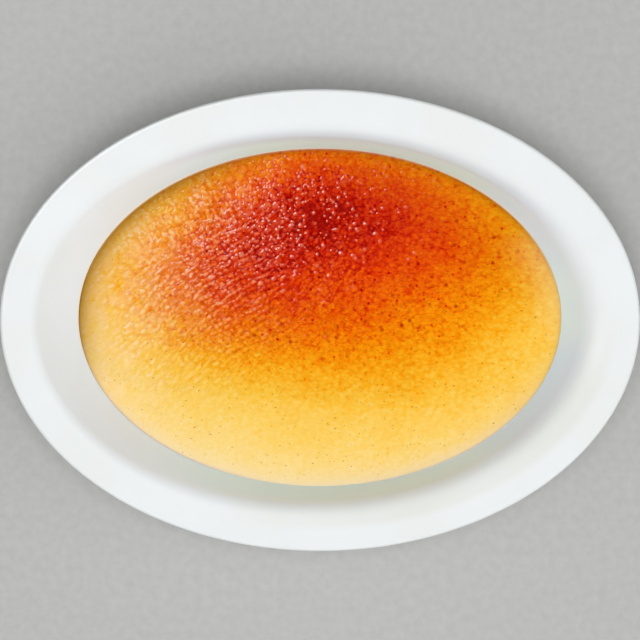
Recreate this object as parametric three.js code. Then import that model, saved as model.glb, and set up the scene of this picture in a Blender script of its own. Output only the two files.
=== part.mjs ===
/**
 * Creme brulee in an oval porcelain dish with a wide flat rim.
 *
 * Units are millimetres and +Z is up. X runs along the dish and Y across it. The origin lies under
 * the middle of the dish, on the surface that its foot ring stands on.
 *
 * Both pieces are oval at every height. Each is turned like a round body whose radius is the oval's
 * half-length, and every ring is then squeezed across to its half-width. The wall leans out further
 * at the ends of the dish than at its sides, so the share by which a ring is squeezed changes.
 *
 * The rim is wider, and rounds more softly into the wall, at the right than at the left.
 */
import * as THREE from 'three';

// Dish, overall
const dishLength = 180;
const dishWidth = 130.6;
const dishHeight = 32;

// Rim: a flat band that falls slightly towards the wall, and the shoulder that rounds it into the wall
const rimWidth = { right: 13.4, left: 9.4 };
const shoulderRadius = { right: 10.5, left: 4 };
const rimFall = 0.5;
const rimThickness = 3.6;
const lipRadius = 1;

// Custard's edge on the wall, at the ends of the dish
const custardLevel = 21;
const wallHalfLengthAtCustard = 68.8;

// Wall below the custard's edge, at the ends of the dish
const wallLean = THREE.MathUtils.degToRad(45);
const wallThickness = 4;
const underRimRadius = 4;
const baseRadius = 12;

// Wall at the sides: it leans out by a share of what it does at the ends. The share is low in the
// steep stretch, which starts where the rim's band of equal width ends, and higher below it.
const bandOfEqualWidth = 14;
const steepStretch = 9;
const bendSoftness = 3;
const sideShare = { steep: 0.39, below: 0.72 };

// Floor and foot ring
const floorHeight = 5.5;
const floorRadius = 16;
const footHeight = 1.8;
const footOuterHalfLength = 48.5;
const footWidth = 4.6;
const footRadius = 0.8;
const plainOvalHalfLength = 46; // inside it all ovals have the same proportions

// Custard
const custardGap = 0.3; // between the custard and the floor
const custardGapAcross = 0.5; // between the custard and the leaning wall, measured level
const custardCentreRise = 0.4;

// Blisters and swells that the torch has raised in the crust
const blisterCount = 150;
const blisterRadius = { least: 2.2, most: 4.6 };
const blisterHeight = { least: 0.15, most: 0.5 };
const blisterEdge = 0.93; // no blister rises outside this share of the surface
const scorch = { x: -6, y: 19, halfLength: 52, halfWidth: 31 };

// Irrational steps whose multiples, less their whole parts, spread evenly between nought and one
const evenStep = { x: 0.7548776662, y: 0.569840291, height: 0.618033989, radius: 0.414213562 };

// Facets
const ovalSegments = 96;
const surfaceRings = 25;
const facets = { foot: 1, base: 5, underRim: 2, lip: 2, shoulder: 7, floor: 6 };

const halfLength = dishLength / 2;
const halfWidth = dishWidth / 2;

/** Half-length of the wall's inner face at a height below the custard's edge, at the dish's ends. */
function innerWallAt(height) {
  return wallHalfLengthAtCustard - (custardLevel - height) / Math.tan(wallLean);
}

/** Half-length of the outer face of the wall, parallel to that inner face, at the dish's ends. */
function outerWallAt(height) {
  return innerWallAt(height) + wallThickness / Math.sin(wallLean);
}

/** How far an inset lies past a bend in the plan: near nought, then one for one, softly joined. */
function insetPast(inset, bend) {
  const softened = (distance) => (distance + Math.hypot(distance, bendSoftness)) / 2;
  return softened(inset - bend) - softened(-bend);
}

/** Half-width of the oval that has a given half-length. */
function halfWidthOf(ovalHalfLength) {
  const inner = Math.max(ovalHalfLength, plainOvalHalfLength);
  const inset = halfLength - inner;
  const below = insetPast(inset, bandOfEqualWidth + steepStretch);
  const steep = insetPast(inset, bandOfEqualWidth) - below;
  const width = halfWidth - inset + (1 - sideShare.steep) * steep + (1 - sideShare.below) * below;
  return width * (ovalHalfLength / inner);
}

/** Points of the arc that rounds a profile's corner, between its two straight stretches. */
function roundedCorner({ point, radius, steps }, pointBefore, pointAfter) {
  const back = pointBefore.clone().sub(point).normalize();
  const on = pointAfter.clone().sub(point).normalize();
  const halfAngle = Math.acos(THREE.MathUtils.clamp(back.dot(on), -1, 1)) / 2;
  const bisector = back.clone().add(on).normalize();
  const centre = point.clone().addScaledVector(bisector, radius / Math.sin(halfAngle));
  const tangentReach = radius / Math.tan(halfAngle);
  const start = point.clone().addScaledVector(back, tangentReach).sub(centre);
  const end = point.clone().addScaledVector(on, tangentReach).sub(centre);
  const turn = Math.atan2(start.cross(end), start.dot(end));
  const points = [];
  for (let step = 0; step <= steps; step += 1) {
    const spoke = start.clone().rotateAround(new THREE.Vector2(), (turn * step) / steps);
    points.push(spoke.add(centre));
  }
  return points;
}

/** A corner of a profile: distance from the axis, height, rounding radius and facets in that arc. */
function corner(distance, height, radius = 0, steps = 0) {
  return { point: new THREE.Vector2(distance, height), radius, steps };
}

/** The points of a profile, with its corners rounded. */
function profileThrough(corners) {
  return corners.flatMap((each, i) => {
    if (each.radius === 0) {
      return [each.point.clone()];
    }
    return roundedCorner(each, corners[i - 1].point, corners[i + 1].point);
  });
}

/**
 * Turns a profile that starts and ends on the axis, and squeezes every ring into its oval.
 *
 * A second profile with as many points may say how the left end differs from the right. The ring's
 * points then go from one to the other by the square of half of one less the turn's cosine.
 */
function turnOval(profile, leftProfile = profile) {
  const geometry = new THREE.LatheGeometry(profile, ovalSegments);
  geometry.rotateX(Math.PI / 2);
  const position = geometry.getAttribute('position');
  for (let i = 0; i < position.count; i += 1) {
    const right = profile[i % profile.length];
    if (right.x > 0) {
      const cos = position.getX(i) / right.x;
      const sin = position.getY(i) / right.x;
      const here = right.clone().lerp(leftProfile[i % profile.length], ((1 - cos) / 2) ** 2);
      position.setXYZ(i, here.x * cos, halfWidthOf(here.x) * sin, here.y);
    }
  }
  geometry.computeVertexNormals();
  return geometry;
}

/** The dish's profile: out under the foot, up the outside, over the rim and down to the floor. */
function dishProfile(end) {
  const footInner = footOuterHalfLength - footWidth;
  const underRim = dishHeight - rimThickness;
  return profileThrough([
    corner(0, footHeight),
    corner(footInner, footHeight, footRadius, facets.foot),
    corner(footInner, 0, footRadius, facets.foot),
    corner(footOuterHalfLength, 0, footRadius, facets.foot),
    corner(footOuterHalfLength, footHeight, footRadius, facets.foot),
    corner(outerWallAt(footHeight), footHeight, baseRadius, facets.base),
    corner(outerWallAt(underRim), underRim, underRimRadius, facets.underRim),
    corner(halfLength, underRim, lipRadius, facets.lip),
    corner(halfLength, dishHeight, lipRadius, facets.lip),
    corner(halfLength - rimWidth[end], dishHeight - rimFall, shoulderRadius[end], facets.shoulder),
    corner(wallHalfLengthAtCustard, custardLevel),
    corner(innerWallAt(floorHeight), floorHeight, floorRadius, facets.floor),
    corner(0, floorHeight),
  ]);
}

/** The part of a number after its point. */
function fractionOf(number) {
  return number - Math.floor(number);
}

/** A value between two limits. */
function between(limits, share) {
  return THREE.MathUtils.lerp(limits.least, limits.most, share);
}

/** How strongly the torch scorched a place, from nought to one. */
function scorchAt(x, y) {
  const along = (x - scorch.x) / scorch.halfLength;
  const across = (y - scorch.y) / scorch.halfWidth;
  return Math.exp(-along * along - across * across);
}

/** The blisters, spread evenly over the surface, and higher where the torch scorched it. */
function blisters(surfaceHalfLength) {
  const surfaceHalfWidth = halfWidthOf(surfaceHalfLength);
  const list = [];
  for (let i = 1; i <= blisterCount; i += 1) {
    const along = 2 * fractionOf(i * evenStep.x) - 1;
    const across = 2 * fractionOf(i * evenStep.y) - 1;
    if (Math.hypot(along, across) < blisterEdge) {
      const x = along * surfaceHalfLength;
      const y = across * surfaceHalfWidth;
      const height = between(blisterHeight, fractionOf(i * evenStep.height)) * scorchAt(x, y);
      list.push({ x, y, height, radius: between(blisterRadius, fractionOf(i * evenStep.radius)) });
    }
  }
  return list;
}

/** How far the crust stands above the custard's level at a place. */
function crustRelief(x, y, surfaceHalfLength, bumps) {
  const share = Math.hypot(x / surfaceHalfLength, y / halfWidthOf(surfaceHalfLength));
  let height = custardCentreRise * (1 - share * share);
  for (const bump of bumps) {
    const away = Math.hypot(x - bump.x, y - bump.y) / bump.radius;
    height += bump.height * Math.exp(-away * away);
  }
  return height * THREE.MathUtils.smoothstep(1 - share, 0, 1 - blisterEdge);
}

/** The custard fills the dish from the floor to its level, a hair's breadth clear of the wall. */
function custardGeometry() {
  const edge = wallHalfLengthAtCustard - custardGapAcross;
  const bottom = floorHeight + custardGap;
  const body = profileThrough([
    corner(0, bottom),
    corner(innerWallAt(bottom) - custardGapAcross, bottom, floorRadius - custardGap, facets.floor),
    corner(edge, custardLevel),
  ]);
  const surface = [];
  for (let ring = surfaceRings - 1; ring >= 0; ring -= 1) {
    surface.push(new THREE.Vector2((edge * ring) / surfaceRings, custardLevel));
  }
  const profile = [...body, ...surface];
  const geometry = turnOval(profile);
  const position = geometry.getAttribute('position');
  const bumps = blisters(edge);
  for (let i = 0; i < position.count; i += 1) {
    if (i % profile.length >= body.length) {
      const x = position.getX(i);
      const y = position.getY(i);
      position.setZ(i, custardLevel + crustRelief(x, y, edge, bumps));
    }
  }
  geometry.computeVertexNormals();
  return geometry;
}

/** Names a mesh and gives it its finish. */
function namedMesh(name, geometry, finish) {
  const mesh = new THREE.Mesh(geometry, new THREE.MeshStandardMaterial(finish));
  mesh.name = name;
  return mesh;
}

const cremeBrulee = new THREE.Group();
cremeBrulee.name = 'creme_brulee';
const dish = turnOval(dishProfile('right'), dishProfile('left'));
cremeBrulee.add(
  namedMesh('dish', dish, { color: 0xf1f3f3, roughness: 0.3, metalness: 0 }),
  namedMesh('custard', custardGeometry(), { color: 0xf0a545, roughness: 0.3, metalness: 0 }),
);

export default cremeBrulee;
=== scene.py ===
"""The looks of a creme brulee in an oval porcelain dish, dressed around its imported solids.

Lengths are in metres, and MM turns millimetres into them. X runs along the dish, Y across it and
Z up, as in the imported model, and the origin lies under the middle of the foot ring.
"""

import logging
import math
from dataclasses import dataclass
from enum import Enum
from typing import NamedTuple

import bpy
import numpy as np
from mathutils import Matrix, Vector


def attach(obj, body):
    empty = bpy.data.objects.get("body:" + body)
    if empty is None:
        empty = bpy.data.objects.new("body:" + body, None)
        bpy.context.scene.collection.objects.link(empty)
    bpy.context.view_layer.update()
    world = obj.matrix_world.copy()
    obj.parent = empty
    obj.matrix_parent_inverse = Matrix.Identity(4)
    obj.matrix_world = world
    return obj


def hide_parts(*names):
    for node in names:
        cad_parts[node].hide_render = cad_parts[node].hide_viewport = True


Array = np.ndarray
Colour = tuple[float, float, float]
Socket = bpy.types.NodeSocket

MM = 0.001
BODY = "root"
LOG = logging.getLogger("creme_brulee")

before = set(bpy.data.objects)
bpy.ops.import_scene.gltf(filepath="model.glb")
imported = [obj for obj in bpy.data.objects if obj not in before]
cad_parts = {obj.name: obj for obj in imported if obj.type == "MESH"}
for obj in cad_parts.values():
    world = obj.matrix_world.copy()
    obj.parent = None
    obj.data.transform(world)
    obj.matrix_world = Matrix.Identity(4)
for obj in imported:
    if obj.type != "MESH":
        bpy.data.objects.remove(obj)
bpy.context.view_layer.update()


class Slot(Enum):
    """The record's material slots."""

    PORCELAIN = "porcelain"
    CUSTARD = "custard"


# ---------------------------------------------------------------- numbers spread over a plane

# Odd factors and shifts that mix the bits of a cell's place and of a seed
COLUMN_FACTOR = np.uint32(374761393)
ROW_FACTOR = np.uint32(668265263)
SEED_FACTOR = 2246822519
MIXING_FACTOR = np.uint32(1274126177)
FIRST_SHIFT, SECOND_SHIFT = np.uint32(13), np.uint32(16)
KEPT_BITS = 0xFFFFFF

MOTTLE_OCTAVES = 2


def hashed(column: Array, row: Array, seed: int) -> Array:
    """Gives each whole-numbered cell a fixed number between nought and one, by mixing its bits.

    Args:
        column: Whole numbers along X.
        row: Whole numbers along Y.
        seed: Another seed gives another set of numbers.

    Returns:
        An array of the same shape.
    """
    mixed = column.astype(np.int64).astype(np.uint32) * COLUMN_FACTOR
    mixed = mixed + row.astype(np.int64).astype(np.uint32) * ROW_FACTOR
    mixed = mixed + np.full_like(mixed, (seed * SEED_FACTOR) % 2**32)
    mixed = (mixed ^ (mixed >> FIRST_SHIFT)) * MIXING_FACTOR
    mixed = mixed ^ (mixed >> SECOND_SHIFT)
    return (mixed & np.uint32(KEPT_BITS)) / float(KEPT_BITS + 1)


def eased(share: Array) -> Array:
    """Smooth step from nought to one: three times the square less twice the cube."""
    share = np.clip(share, 0.0, 1.0)
    return share * share * (3.0 - 2.0 * share)


def joined(*shares: Array | float) -> Array:
    """What some shares cover together: one less the product of what each of them leaves.

    Args:
        shares: The shares, each from nought to one.

    Returns:
        One share, of the same shape.
    """
    left: Array | float = 1.0
    for share in shares:
        left = left * (1.0 - share)
    return 1.0 - left


def mottle(x: Array, y: Array, cell: float, seed: int) -> Array:
    """Soft random patches: eased blends between random numbers at the corners of square cells.

    Each octave halves the cells and the height of the patches.

    Args:
        x: Places along X.
        y: Places along Y.
        cell: The size of the largest cells.
        seed: Another seed gives another pattern.

    Returns:
        Numbers from about minus one to one.
    """
    total = np.zeros_like(x)
    for octave in range(MOTTLE_OCTAVES):
        column, row = x * 2**octave / cell, y * 2**octave / cell
        left, low = np.floor(column), np.floor(row)
        across, up = eased(column - left), eased(row - low)
        corners = [hashed(left + i, low + j, seed + octave) for j in (0, 1) for i in (0, 1)]
        bottom = corners[0] + (corners[1] - corners[0]) * across
        top = corners[2] + (corners[3] - corners[2]) * across
        total += (2.0 * (bottom + (top - bottom) * up) - 1.0) / 2**octave
    return total


class Fade(NamedTuple):
    """A smooth change from a start to an end, while some other number goes from low to high."""

    low: float
    high: float
    start: float | Socket = 0.0
    end: float | Socket = 1.0

    def at(self, value: Array) -> Array:
        """The change at plain numbers: the start, and the eased share of the way to the end."""
        return self.start + (self.end - self.start) * eased((value - self.low) / (self.high - self.low))


class Patches(NamedTuple):
    """Soft random patches that vary something: their size, their seed and their strength."""

    cell: float
    seed: int
    strength: float

    def at(self, x: Array, y: Array) -> Array:
        """What they add at some places, from about minus to plus their strength."""
        return self.strength * mottle(x, y, self.cell, self.seed)


class Band(NamedTuple):
    """How something dies away with distance: over which reach, and how suddenly."""

    reach: float
    power: float = 2.0

    def share_at(self, distance: Array) -> Array:
        """The exponential of less the distance over the reach, raised to the power."""
        return np.exp(-((distance / self.reach) ** self.power))


@dataclass(frozen=True)
class Sector:
    """A stretch of bearings round the dish, with soft ends.

    Its middle is in degrees round from the dish's right. It covers the bearings whose turn away
    from that middle has a cosine above its least one, and it comes in over the fade.
    """

    middle: float
    least_cosine: float
    fade: float
    strength: float = 1.0

    def share_at(self, bearing: Array) -> Array:
        """How far bearings belong to it: its strength times an eased step of that cosine."""
        cosine = np.cos(bearing - math.radians(self.middle))
        return self.strength * eased((cosine - self.least_cosine) / self.fade)


@dataclass(frozen=True)
class Grain:
    """A pebbled grain: one low dome in every cell of a turned, stretched grid, in wavy rows."""

    spacing: float
    turn: float = 0.0
    stretch: float = 1.0
    seed: int = 1
    row_spacing: float = 2.0 * MM
    row_depth: float = 0.0
    jitter: float = 0.75
    roundness: float = 3.0
    warp: float = 0.3 * MM
    warp_cell: float = 2.6 * MM
    least_radius: float = 0.5
    radius_range: float = 0.35
    least_height: float = 0.35
    row_waviness: float = 1.6
    rows_in_a_wave: float = 3.5

    def share_at(self, x: Array, y: Array) -> Array:
        """The height of the grain at some places, as a share of its tallest domes.

        Each dome is one less the squared distance from its own middle, over its own radius, and
        a soft maximum (a power mean) joins the nine domes round a place. Between two rows the
        domes are lower, by the depth of the rows times half of one less a wavy cosine.

        Args:
            x: Places along X.
            y: Places along Y.

        Returns:
            Shares from nought up to about one.
        """
        turn = math.radians(self.turn)
        bent_x = x + self.warp * mottle(x, y, self.warp_cell, self.seed + 7)
        bent_y = y + self.warp * mottle(x, y, self.warp_cell, self.seed + 11)
        along = (bent_x * math.cos(turn) + bent_y * math.sin(turn)) / (self.spacing * self.stretch)
        across = (bent_y * math.cos(turn) - bent_x * math.sin(turn)) / self.spacing
        column, row = np.floor(along), np.floor(across)
        total = np.zeros_like(x)
        for i in (-1, 0, 1):
            for j in (-1, 0, 1):
                cell = (column + i, row + j)
                middle_along = cell[0] + 0.5 + self.jitter * (hashed(*cell, self.seed) - 0.5)
                middle_across = cell[1] + 0.5 + self.jitter * (hashed(*cell, self.seed + 1) - 0.5)
                radius = self.least_radius + self.radius_range * hashed(*cell, self.seed + 2)
                tall = self.least_height + (1.0 - self.least_height) * hashed(*cell, self.seed + 3)
                away = ((along - middle_along) ** 2 + (across - middle_across) ** 2) / radius**2
                total += (tall * np.clip(1.0 - away, 0.0, None)) ** self.roundness
        waves = 2.0 * math.pi * across * self.spacing / self.row_spacing
        wave_cell = self.rows_in_a_wave * self.row_spacing
        waves = waves + self.row_waviness * mottle(bent_x, bent_y, wave_cell, self.seed + 4)
        return total ** (1.0 / self.roundness) * (1.0 - self.row_depth * (1.0 - np.cos(waves)) / 2.0)


# ---------------------------------------------------------------- the dish's plan and profile

ARC_POINTS = 14
STRETCH_SHARES = np.array([0.04, 0.35, 0.65, 0.96])


@dataclass(frozen=True)
class Corner:
    """A corner of a profile: its distance from the axis, its height and its rounding radius."""

    distance: float
    height: float
    radius: float = 0.0

    @property
    def point(self) -> Array:
        """The corner as a point of the profile's plane."""
        return np.array([self.distance, self.height])


def rounded_corner(corner: Corner, before: Array, after: Array) -> Array:
    """The arc that rounds a corner, touching the straight lines to its two neighbours.

    The arc's centre lies on the line that halves the corner, and its points are the first spoke
    turned by equal steps.

    Args:
        corner: The corner, with its radius.
        before: The point that the profile comes from.
        after: The point that the profile goes on to.

    Returns:
        Points of the profile, two numbers each.
    """
    back = (before - corner.point) / np.linalg.norm(before - corner.point)
    on = (after - corner.point) / np.linalg.norm(after - corner.point)
    half_angle = math.acos(float(np.clip(back @ on, -1.0, 1.0))) / 2.0
    bisector = (back + on) / np.linalg.norm(back + on)
    centre = corner.point + bisector * corner.radius / math.sin(half_angle)
    start = corner.point + back * corner.radius / math.tan(half_angle) - centre
    turn = math.copysign(math.pi - 2.0 * half_angle, -float(back[0] * on[1] - back[1] * on[0]))
    angles = turn * np.linspace(0.0, 1.0, ARC_POINTS)
    cos, sin = np.cos(angles), np.sin(angles)
    spokes = np.stack([start[0] * cos - start[1] * sin, start[0] * sin + start[1] * cos], axis=1)
    return centre + spokes


def profile_through(corners: list[Corner]) -> Array:
    """A profile through rounded corners, with its straight stretches cut into short ones.

    Every arc and every stretch has a fixed number of points, so that profiles with as many corners
    have as many points. The first and last points of a stretch lie near its ends, which keeps its
    shading flat.

    Args:
        corners: The corners in order.

    Returns:
        Points of the profile, two numbers each.
    """
    pieces: list[Array] = []
    for i, corner in enumerate(corners):
        if corner.radius:
            arc = rounded_corner(corner, corners[i - 1].point, corners[i + 1].point)
        else:
            arc = corner.point[None, :]
        if pieces:
            start, end = pieces[-1][-1], arc[0]
            pieces.append(start + (end - start) * STRETCH_SHARES[:, None])
        pieces.append(arc)
    return np.concatenate(pieces)


@dataclass(frozen=True)
class OvalPlan:
    """How long and wide the dish's ovals are.

    A rim of equal width runs round the dish. Inside it the wall leans out less at the sides than
    at the ends: by a low share in the steep stretch above the filling's edge, and by a higher one
    below. The middle ovals all have the same proportions.
    """

    half_length: float = 90.0 * MM
    half_width: float = 65.3 * MM
    band: float = 14.0 * MM
    steep_stretch: float = 9.0 * MM
    softness: float = 3.0 * MM
    steep_share: float = 0.39
    below_share: float = 0.72
    plain_half_length: float = 46.0 * MM

    def softened(self, distance: Array) -> Array:
        """A ramp that stays near nought, then rises one for one, with a soft bend between."""
        return (distance + np.hypot(distance, self.softness)) / 2.0

    def inset_past(self, inset: Array, bend: float) -> Array:
        """How far an inset lies past a bend in the plan."""
        return self.softened(inset - bend) - self.softened(np.asarray(-bend))

    def half_width_of(self, half_length: Array) -> Array:
        """The half-width of the ovals that have these half-lengths.

        The half-width falls one for one with the half-length in the rim's band, then by the
        share of the steep stretch and the share below it, and is in proportion inside the plain
        oval.

        Args:
            half_length: Half-lengths of ovals.

        Returns:
            Their half-widths.
        """
        outer = np.maximum(half_length, self.plain_half_length)
        inset = self.half_length - outer
        below = self.inset_past(inset, self.band + self.steep_stretch)
        steep = self.inset_past(inset, self.band) - below
        width = self.half_width - inset + (1.0 - self.steep_share) * steep
        width = width + (1.0 - self.below_share) * below
        return width * half_length / outer


# ---------------------------------------------------------------- meshes


def make_piece(
    name: str, points: Array, faces: list[Array], material: bpy.types.Material
) -> bpy.types.Object:
    """Makes a smooth mesh object at the origin from whole arrays.

    Args:
        name: The piece's name.
        points: Its points, three numbers each.
        faces: Arrays of faces, one array for each number of corners.
        material: Its finish.

    Returns:
        The object, in the scene's own collection.
    """
    corners = np.concatenate([each.ravel() for each in faces]).astype(np.int32)
    sides = np.concatenate([np.full(len(each), each.shape[1]) for each in faces])
    starts = np.concatenate([[0], np.cumsum(sides)[:-1]]).astype(np.int32)
    mesh = bpy.data.meshes.new(name)
    mesh.vertices.add(len(points))
    mesh.vertices.foreach_set("co", points.astype(np.float32).ravel())
    mesh.loops.add(len(corners))
    mesh.loops.foreach_set("vertex_index", corners)
    mesh.polygons.add(len(sides))
    mesh.polygons.foreach_set("loop_start", starts)
    mesh.update(calc_edges=True)
    mesh.shade_smooth()
    mesh.validate()
    mesh.materials.append(material)
    piece = bpy.data.objects.new(name, mesh)
    bpy.context.scene.collection.objects.link(piece)
    return piece


def add_attribute(piece: bpy.types.Object, name: str, values: Array) -> None:
    """Stores one number for each point of a piece, for its finish to read."""
    attribute = piece.data.attributes.new(name, "FLOAT", "POINT")
    attribute.data.foreach_set("value", values.astype(np.float32))


def strip_faces(first: Array, second: Array) -> Array:
    """The quads between two closed rings of points, given by their numbers in the mesh."""
    return np.stack([first, np.roll(first, -1), np.roll(second, -1), second], axis=1)


def grid_faces(shape: tuple[int, int]) -> tuple[Array, Array]:
    """The quads of a grid of points numbered row by row, and the ring of points round its border.

    Args:
        shape: How many rows and columns of points the grid has.

    Returns:
        The quads, and the ring, which runs with the rows' steps on their first row.
    """
    numbers = np.arange(shape[0] * shape[1]).reshape(shape)
    cells = [numbers[:-1, :-1], numbers[:-1, 1:], numbers[1:, 1:], numbers[1:, :-1]]
    border = [numbers[0, :-1], numbers[:-1, -1], numbers[-1, :0:-1], numbers[:0:-1, 0]]
    return np.stack([each.ravel() for each in cells], axis=1), np.concatenate(border)


def fan_faces(middle: int, ring: Array) -> Array:
    """The triangles between a middle point and a closed ring round it."""
    return np.stack([np.full(len(ring), middle), ring, np.roll(ring, -1)], axis=1)


# ---------------------------------------------------------------- finishes


class Noise(NamedTuple):
    """A soft noise: how fine it is, its finer detail, and its squeeze along each axis."""

    scale: float
    detail: float = 2.0
    roughness: float = 0.5
    squeeze: tuple[float, float, float] = (1.0, 1.0, 1.0)


class Dots(NamedTuple):
    """Small soft dots: their cells' size, their reach as a share of it, and how many cells are empty.

    The solid share says how much of a dot's reach is at full strength.
    """

    size: float
    radius: float
    empty: float
    solid: float = 0.3


class Shader:
    """A node tree, with short ways to add and link its nodes."""

    def __init__(self, name: str) -> None:
        """Makes a material with one Principled shader.

        Args:
            name: The material's name.
        """
        self.material = bpy.data.materials.new(name)
        self.material.use_nodes = True
        self.tree = self.material.node_tree
        self.surface = self.tree.nodes["Principled BSDF"]

    @classmethod
    def of_world(cls, name: str) -> "Shader":
        """Makes the scene's world.

        Args:
            name: The world's name.

        Returns:
            Its node tree, whose surface is the background.
        """
        shader = cls.__new__(cls)
        shader.material = bpy.data.worlds.new(name)
        shader.material.use_nodes = True
        shader.tree = shader.material.node_tree
        shader.surface = shader.tree.nodes["Background"]
        bpy.context.scene.world = shader.material
        return shader

    def node(self, kind: str, **settings: object) -> bpy.types.Node:
        """Adds a node.

        Args:
            kind: The node's type.
            settings: The properties to set on it.

        Returns:
            The node.
        """
        made = self.tree.nodes.new(kind)
        for key, value in settings.items():
            setattr(made, key, value)
        return made

    def link(self, start: Socket, end: Socket) -> None:
        """Links an output to an input."""
        self.tree.links.new(start, end)

    def feed(self, socket: Socket, value: object) -> None:
        """Links an input to an output, or sets it to a constant.

        Args:
            socket: The input.
            value: The output or the constant.
        """
        if isinstance(value, Socket):
            self.link(value, socket)
        else:
            socket.default_value = value

    def maths(self, operation: str, first: object, second: object, clamp: bool = False) -> Socket:
        """Works out one number from two.

        Args:
            operation: What is done with them.
            first: The first number.
            second: The second number.
            clamp: Whether the result stays between nought and one.

        Returns:
            The result.
        """
        made = self.node("ShaderNodeMath", operation=operation, use_clamp=clamp)
        self.feed(made.inputs[0], first)
        self.feed(made.inputs[1], second)
        return made.outputs[0]

    def product(self, first: object, second: object) -> Socket:
        """One number times another."""
        return self.maths("MULTIPLY", first, second)

    def attribute(self, name: str) -> Socket:
        """Reads a number stored on the mesh's points."""
        return self.node("ShaderNodeAttribute", attribute_name=name).outputs["Fac"]

    def place(self) -> Socket:
        """Object coordinates."""
        return self.node("ShaderNodeTexCoord").outputs["Object"]

    def noise(self, kind: Noise) -> Socket:
        """Adds a soft noise over the object.

        Args:
            kind: How fine it is, and how it is squeezed.

        Returns:
            A share from nought to one.
        """
        made = self.node("ShaderNodeTexNoise")
        squeezed = self.node("ShaderNodeVectorMath", operation="MULTIPLY")
        self.link(self.place(), squeezed.inputs[0])
        squeezed.inputs[1].default_value = kind.squeeze
        self.link(squeezed.outputs[0], made.inputs["Vector"])
        made.inputs["Scale"].default_value = kind.scale
        made.inputs["Detail"].default_value = kind.detail
        made.inputs["Roughness"].default_value = kind.roughness
        return made.outputs[0]

    def dots(self, kind: Dots) -> Socket:
        """Adds small soft dots: the middles of some of the cells of an uneven pattern.

        Args:
            kind: How large the cells and dots are. Cells whose own random number is under its
                empty share have no dot.

        Returns:
            A share that is one in the middle of the strongest dots.
        """
        cells = self.node("ShaderNodeTexVoronoi")
        self.link(self.place(), cells.inputs["Vector"])
        cells.inputs["Scale"].default_value = 1.0 / kind.size
        dot = Fade(kind.solid * kind.radius, kind.radius, 1.0, 0.0)
        near = self.between(cells.outputs["Distance"], dot)
        lot = self.node("ShaderNodeSeparateColor")
        self.link(cells.outputs["Color"], lot.inputs[0])
        return self.product(near, self.between(lot.outputs[0], Fade(kind.empty, 1.0)))

    def ramp(self, value: Socket, stops: tuple[tuple[float, Colour], ...]) -> Socket:
        """Turns a number into a colour.

        Args:
            value: The number.
            stops: Positions from nought to one, and their colours.

        Returns:
            The colour.
        """
        made = self.node("ShaderNodeValToRGB")
        elements = made.color_ramp.elements
        while len(elements) < len(stops):
            elements.new(1.0)
        for element, (position, colour) in zip(elements, stops):
            element.position = position
            element.color = (*colour, 1.0)
        self.link(value, made.inputs[0])
        return made.outputs[0]

    def mix(self, share: object, first: object, second: object, blend: str = "MIX") -> Socket:
        """Blends two colours.

        Args:
            share: How far the second one shows.
            first: The first colour.
            second: The second colour.
            blend: How they are blended.

        Returns:
            The blend.
        """
        made = self.node("ShaderNodeMix", data_type="RGBA", blend_type=blend)
        self.feed(made.inputs[0], share)
        for socket, value in ((made.inputs[6], first), (made.inputs[7], second)):
            self.feed(socket, value if isinstance(value, Socket) else (*value, 1.0))
        return made.outputs[2]

    def between(self, value: object, fade: Fade) -> Socket:
        """Carries a number smoothly from one range to another.

        Args:
            value: The number.
            fade: The two ranges.

        Returns:
            The number in the new range.
        """
        made = self.node("ShaderNodeMapRange", interpolation_type="SMOOTHSTEP")
        for socket, number in zip(made.inputs, (value, *fade)):
            self.feed(socket, number)
        return made.outputs[0]

    def bump(self, height: Socket, distance: float) -> None:
        """Gives the surface a fine bump.

        Args:
            height: The bump's height, as a share.
            distance: Its greatest height.
        """
        made = self.node("ShaderNodeBump")
        made.inputs["Distance"].default_value = distance
        made.inputs["Strength"].default_value = 1.0
        self.link(height, made.inputs["Height"])
        self.link(made.outputs[0], self.surface.inputs["Normal"])

    def settle(self, **values: object) -> bpy.types.Material:
        """Sets the Principled shader's own sockets.

        Args:
            values: Constants and outputs by the sockets' names, with a line for each space.

        Returns:
            The material.
        """
        for name, value in values.items():
            self.feed(self.surface.inputs[name.replace("_", " ")], value)
        return self.material


def linear(red: int, green: int, blue: int) -> Colour:
    """Turns a colour on the screen into linear light.

    Args:
        red: Red, from 0 to 255.
        green: Green.
        blue: Blue.

    Returns:
        The same colour as linear light, by the screen's standard curve.
    """
    shares = np.array([red, green, blue]) / 255.0
    light = np.where(shares <= 0.04045, shares / 12.92, ((shares + 0.055) / 1.055) ** 2.4)
    return tuple(float(each) for each in light)


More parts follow.
